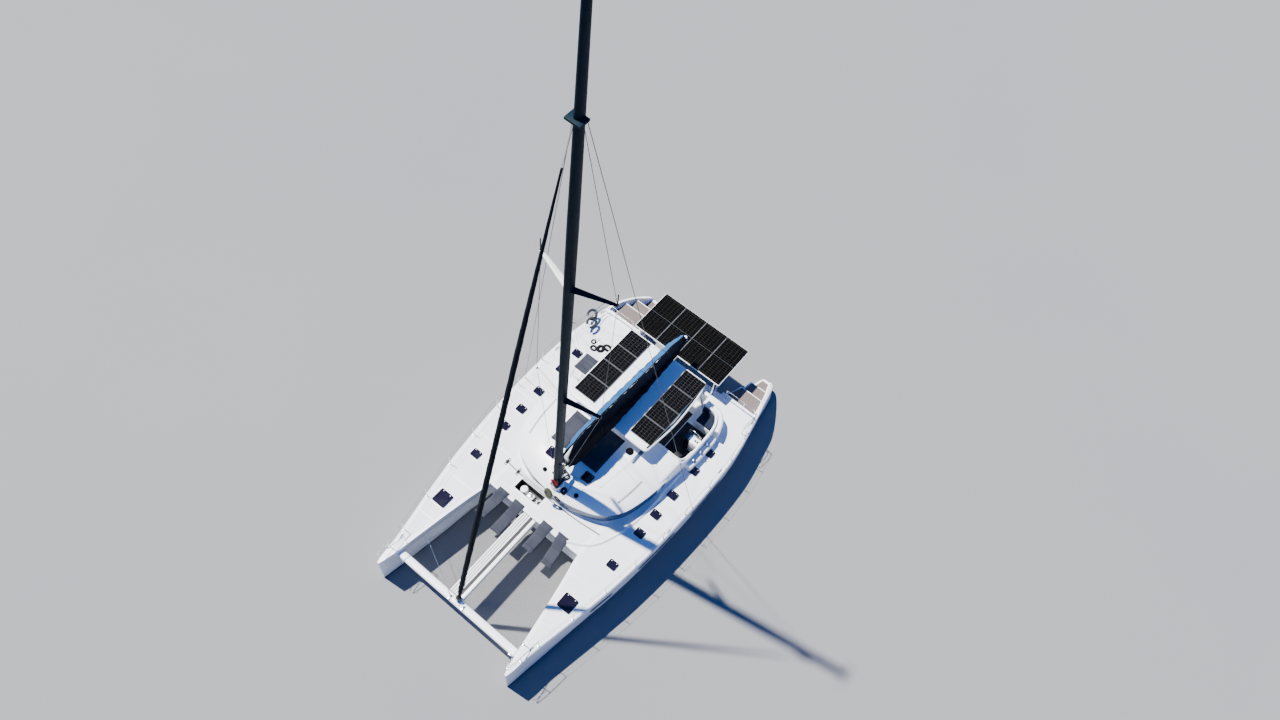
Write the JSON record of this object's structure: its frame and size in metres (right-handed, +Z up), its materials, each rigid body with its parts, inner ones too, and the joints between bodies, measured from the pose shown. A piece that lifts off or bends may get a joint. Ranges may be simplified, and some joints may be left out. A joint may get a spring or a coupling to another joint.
{
  "type": "sailing catamaran",
  "caption": "Cruising sailing catamaran afloat: twin hulls, hollow saloon, hardtop cockpit with side helm, solar arrays, mast with boom, sail bag and furled headsail.",
  "frame": {"origin": "on the centreline at the waterline, a little ahead of the middle of the length", "axes": "+Z up, the bow points to -Y, the port side is at +X"},
  "size_m": [8.8, 16.45, 26.35],
  "materials": {
    "gelcoat": "glossy moulded gelcoat",
    "window_glass": "dark tinted glass",
    "hatch_glass": "smoked acrylic",
    "solar": "black cells under matt glass",
    "grey_fabric": "woven outdoor fabric",
    "canvas": "navy acrylic canvas",
    "headsail_cover": "black ultraviolet strip on the furled sail",
    "net": "knotless black netting",
    "spar": "dark satin paint",
    "stainless": "polished stainless tube",
    "drive_paint": "grey drive enamel",
    "bronze": "propeller bronze"
  },
  "bodies": {
    "root": {"hull_port": "gelcoat", "hull_starboard": "gelcoat", "bridgedeck": "gelcoat", "saloon_cabin": "gelcoat", "helm_station": "gelcoat", "cockpit_benches": "gelcoat", "hardtop": "gelcoat", "hardtop_frame": "gelcoat", "forward_crossbeam": "gelcoat", "longeron": "gelcoat", "saloon_windows": "window_glass", "helm_seat": "canvas", "cockpit_cushions": "grey_fabric", "side_pad": "grey_fabric", "lounger_1": "grey_fabric", "lounger_2": "grey_fabric", "lounger_3": "grey_fabric", "lounger_4": "grey_fabric", "sun_pad_port": "grey_fabric", "sun_pad_starboard": "grey_fabric", "roof_solar_port": "solar", "roof_solar_starboard": "solar", "stern_solar_array": "solar", "davit_frame": "stainless", "forestay": "stainless", "shroud_port": "stainless", "shroud_starboard": "stainless", "guard_rail_port": "stainless", "guard_rail_starboard": "stainless", "net_port": "net", "net_starboard": "net", "mast": "spar", "furled_headsail": "headsail_cover", "saildrive_port": "drive_paint", "saildrive_starboard": "drive_paint"},
    "boom": {"boom": "spar", "sail_bag": "canvas"},
    "anchor_locker_lid": {"anchor_locker_lid": "gelcoat"},
    "saloon_door": {"saloon_door": "window_glass"},
    "steering_wheel": {"steering_wheel": "stainless"},
    "rudder_port": {"rudder_port": "gelcoat"},
    "propeller_port": {"propeller_port": "bronze"},
    "rudder_starboard": {"rudder_starboard": "gelcoat"},
    "propeller_starboard": {"propeller_starboard": "bronze"},
    "hatch_bow_port": {"hatch_bow_port": "hatch_glass"},
    "hatch_bow_starboard": {"hatch_bow_starboard": "hatch_glass"},
    "hatch_fore_port": {"hatch_fore_port": "hatch_glass"},
    "hatch_fore_starboard": {"hatch_fore_starboard": "hatch_glass"},
    "hatch_side_1_port": {"hatch_side_1_port": "hatch_glass"},
    "hatch_side_1_starboard": {"hatch_side_1_starboard": "hatch_glass"},
    "hatch_side_2_port": {"hatch_side_2_port": "hatch_glass"},
    "hatch_side_2_starboard": {"hatch_side_2_starboard": "hatch_glass"},
    "hatch_side_3_port": {"hatch_side_3_port": "hatch_glass"},
    "hatch_side_3_starboard": {"hatch_side_3_starboard": "hatch_glass"},
    "hatch_side_4_port": {"hatch_side_4_port": "hatch_glass"},
    "hatch_side_4_starboard": {"hatch_side_4_starboard": "hatch_glass"},
    "hatch_aft_port": {"hatch_aft_port": "hatch_glass"},
    "hatch_aft_starboard": {"hatch_aft_starboard": "hatch_glass"},
    "hatch_roof_port": {"hatch_roof_port": "hatch_glass"},
    "hatch_roof_starboard": {"hatch_roof_starboard": "hatch_glass"}
  },
  "joints": [
    {"name": "boom_swing", "type": "hinge", "parent": "root", "child": "boom", "pos_m": [0, -1.38, 3.7], "axis": [0, 0, 1], "range_deg": [-50, 50]},
    {"name": "locker_lid_hinge", "type": "hinge", "parent": "root", "child": "anchor_locker_lid", "pos_m": [-0.8, -2.12, 1.8153], "axis": [1, 0, 0], "range_deg": [0, 95]},
    {"name": "saloon_door_slide", "type": "slide", "parent": "root", "child": "saloon_door", "axis": [-1, 0, 0], "range_m": [0, 1.03]},
    {"name": "wheel_turn", "type": "hinge", "parent": "root", "child": "steering_wheel", "pos_m": [2.65, 3.4, 2.42], "axis": [0, 1, 0], "range_deg": [-420, 420]},
    {"name": "rudder_port_turn", "type": "hinge", "parent": "root", "child": "rudder_port", "pos_m": [3.125, 6.65, -0.54], "axis": [0, 0, 1], "range_deg": [-35, 35]},
    {"name": "rudder_starboard_turn", "type": "hinge", "parent": "root", "child": "rudder_starboard", "pos_m": [-3.125, 6.65, -0.54], "axis": [0, 0, 1], "range_deg": [-35, 35]},
    {"name": "propeller_port_spin", "type": "hinge", "parent": "root", "child": "propeller_port", "pos_m": [3.125, 5.1853, -0.98], "axis": [0, 1, 0], "continuous": true},
    {"name": "propeller_starboard_spin", "type": "hinge", "parent": "root", "child": "propeller_starboard", "pos_m": [-3.125, 5.1853, -0.98], "axis": [0, 1, 0], "continuous": true},
    {"name": "hatch_bow_port_hinge", "type": "hinge", "parent": "root", "child": "hatch_bow_port", "pos_m": [3.11, -4.99, 1.8353], "axis": [1, 0, 0], "range_deg": [0, 90]},
    {"name": "hatch_bow_starboard_hinge", "type": "hinge", "parent": "root", "child": "hatch_bow_starboard", "pos_m": [-3.11, -4.99, 1.8353], "axis": [1, 0, 0], "range_deg": [0, 90]},
    {"name": "hatch_fore_port_hinge", "type": "hinge", "parent": "root", "child": "hatch_fore_port", "pos_m": [3.43, -2.715, 1.8353], "axis": [1, 0, 0], "range_deg": [0, 90]},
    {"name": "hatch_fore_starboard_hinge", "type": "hinge", "parent": "root", "child": "hatch_fore_starboard", "pos_m": [-3.43, -2.715, 1.8353], "axis": [1, 0, 0], "range_deg": [0, 90]},
    {"name": "hatch_side_1_port_hinge", "type": "hinge", "parent": "root", "child": "hatch_side_1_port", "pos_m": [3.43, -1.095, 1.8353], "axis": [1, 0, 0], "range_deg": [0, 90]},
    {"name": "hatch_side_1_starboard_hinge", "type": "hinge", "parent": "root", "child": "hatch_side_1_starboard", "pos_m": [-3.43, -1.095, 1.8353], "axis": [1, 0, 0], "range_deg": [0, 90]},
    {"name": "hatch_side_2_port_hinge", "type": "hinge", "parent": "root", "child": "hatch_side_2_port", "pos_m": [3.43, -0.125, 1.8353], "axis": [1, 0, 0], "range_deg": [0, 90]},
    {"name": "hatch_side_2_starboard_hinge", "type": "hinge", "parent": "root", "child": "hatch_side_2_starboard", "pos_m": [-3.43, -0.125, 1.8353], "axis": [1, 0, 0], "range_deg": [0, 90]},
    {"name": "hatch_side_3_port_hinge", "type": "hinge", "parent": "root", "child": "hatch_side_3_port", "pos_m": [3.44, 0.925, 1.8353], "axis": [1, 0, 0], "range_deg": [0, 90]},
    {"name": "hatch_side_3_starboard_hinge", "type": "hinge", "parent": "root", "child": "hatch_side_3_starboard", "pos_m": [-3.44, 0.925, 1.8353], "axis": [1, 0, 0], "range_deg": [0, 90]},
    {"name": "hatch_side_4_port_hinge", "type": "hinge", "parent": "root", "child": "hatch_side_4_port", "pos_m": [3.44, 2.275, 1.8353], "axis": [1, 0, 0], "range_deg": [0, 90]},
    {"name": "hatch_side_4_starboard_hinge", "type": "hinge", "parent": "root", "child": "hatch_side_4_starboard", "pos_m": [-3.44, 2.275, 1.8353], "axis": [1, 0, 0], "range_deg": [0, 90]},
    {"name": "hatch_aft_port_hinge", "type": "hinge", "parent": "root", "child": "hatch_aft_port", "pos_m": [3.44, 3.285, 1.8353], "axis": [1, 0, 0], "range_deg": [0, 90]},
    {"name": "hatch_aft_starboard_hinge", "type": "hinge", "parent": "root", "child": "hatch_aft_starboard", "pos_m": [-3.44, 3.285, 1.8353], "axis": [1, 0, 0], "range_deg": [0, 90]},
    {"name": "hatch_roof_port_hinge", "type": "hinge", "parent": "root", "child": "hatch_roof_port", "pos_m": [0.76, -1.065, 2.9353], "axis": [1, 0, 0], "range_deg": [0, 90]},
    {"name": "hatch_roof_starboard_hinge", "type": "hinge", "parent": "root", "child": "hatch_roof_starboard", "pos_m": [-0.93, -1.15, 2.9353], "axis": [1, 0, 0], "range_deg": [0, 90]}
  ],
  "couplings": [
    {"joint": "rudder_port_turn", "follows": "wheel_turn", "ratio": -0.0833},
    {"joint": "rudder_starboard_turn", "follows": "wheel_turn", "ratio": -0.0833}
  ]
}
